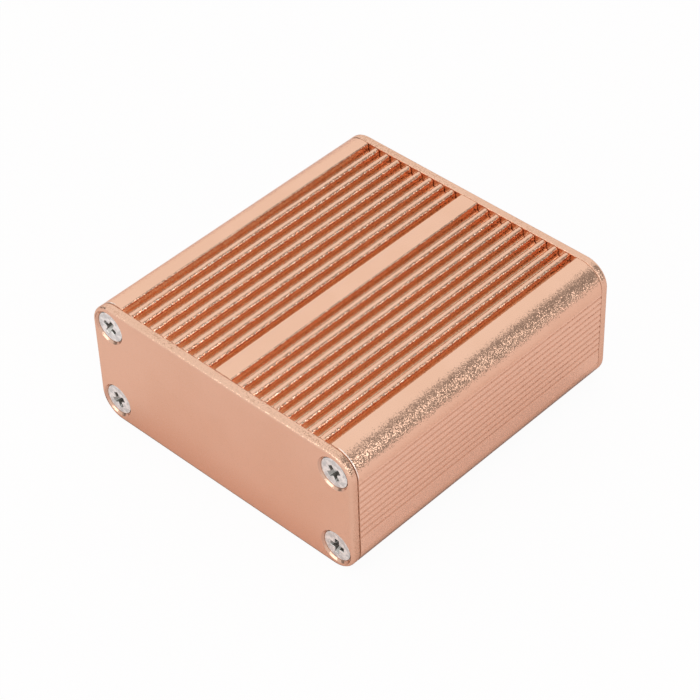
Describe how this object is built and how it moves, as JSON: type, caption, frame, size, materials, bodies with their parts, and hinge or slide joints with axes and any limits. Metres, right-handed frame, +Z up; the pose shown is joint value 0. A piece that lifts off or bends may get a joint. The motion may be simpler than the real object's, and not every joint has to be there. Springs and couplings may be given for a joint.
{
  "type": "aluminium project box",
  "caption": "Small hollow box of extruded aluminium with a finned top, finely lined sides and screwed end plates, for housing a circuit board.",
  "frame": {"origin": "centre of the underside", "axes": "+Y along the extrusion from the front plate to the rear plate, +Z up through the finned top, +X across the width"},
  "size_m": [0.0546, 0.0582, 0.023],
  "materials": {
    "anodised_body": "bead blasted and anodised rose gold",
    "anodised_plate": "bead blasted and anodised rose gold",
    "screw_plating": "bright nickel plate"
  },
  "bodies": {
    "root": {"body": "anodised_body", "front_plate": "anodised_plate", "rear_plate": "anodised_plate", "front_screws": "screw_plating", "rear_screws": "screw_plating"}
  },
  "joints": []
}
